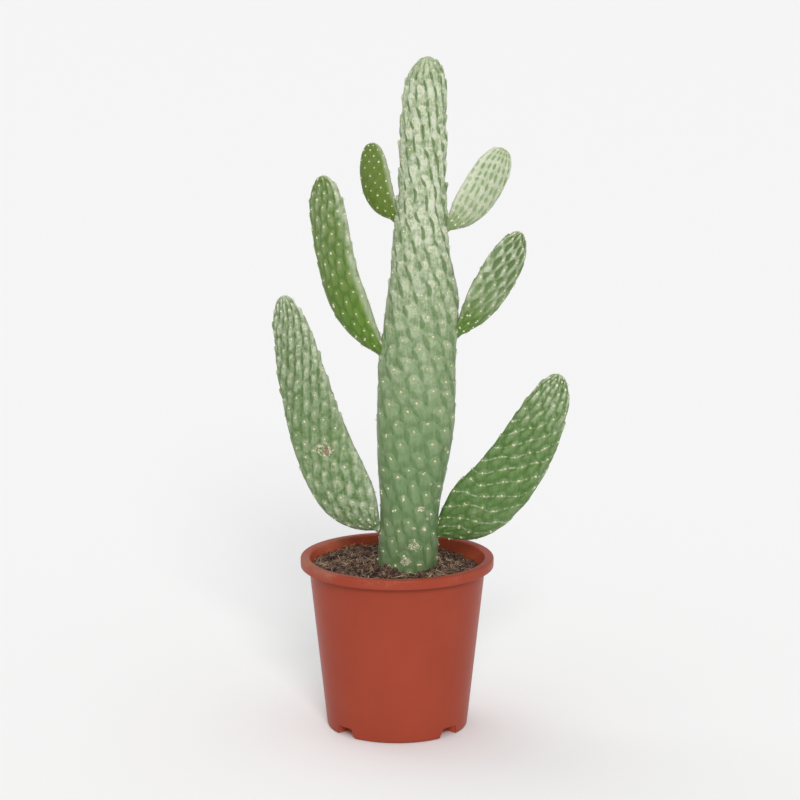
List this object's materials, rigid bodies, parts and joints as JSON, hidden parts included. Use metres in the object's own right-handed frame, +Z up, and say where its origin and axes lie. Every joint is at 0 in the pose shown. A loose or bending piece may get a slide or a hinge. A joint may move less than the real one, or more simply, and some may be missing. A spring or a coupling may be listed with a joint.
{
  "type": "potted paddle cactus",
  "caption": "Live paddle cactus with an upright flattened trunk and side pads, growing in a round plastic nursery pot.",
  "frame": {"origin": "centre of the pot's flat base, on the surface the pot stands on", "axes": "+Z up along the pot's axis, +X to the right of the plant's broad side, +Y away from it"},
  "size_m": [0.2577, 0.17, 0.589],
  "materials": {
    "terracotta_plastic": "satin",
    "potting_soil": "matte",
    "cactus_skin": "satin",
    "areole_wool": "matte",
    "root_bark": "matte"
  },
  "bodies": {
    "root": {"pot": "terracotta_plastic", "soil": "potting_soil", "trunk": "cactus_skin", "pad_lower_left": "cactus_skin", "pad_middle_left": "cactus_skin", "pad_upper_left": "cactus_skin", "pad_upper_right": "cactus_skin", "pad_middle_right": "cactus_skin", "pad_lower_right": "cactus_skin", "roots": "root_bark"}
  },
  "joints": []
}
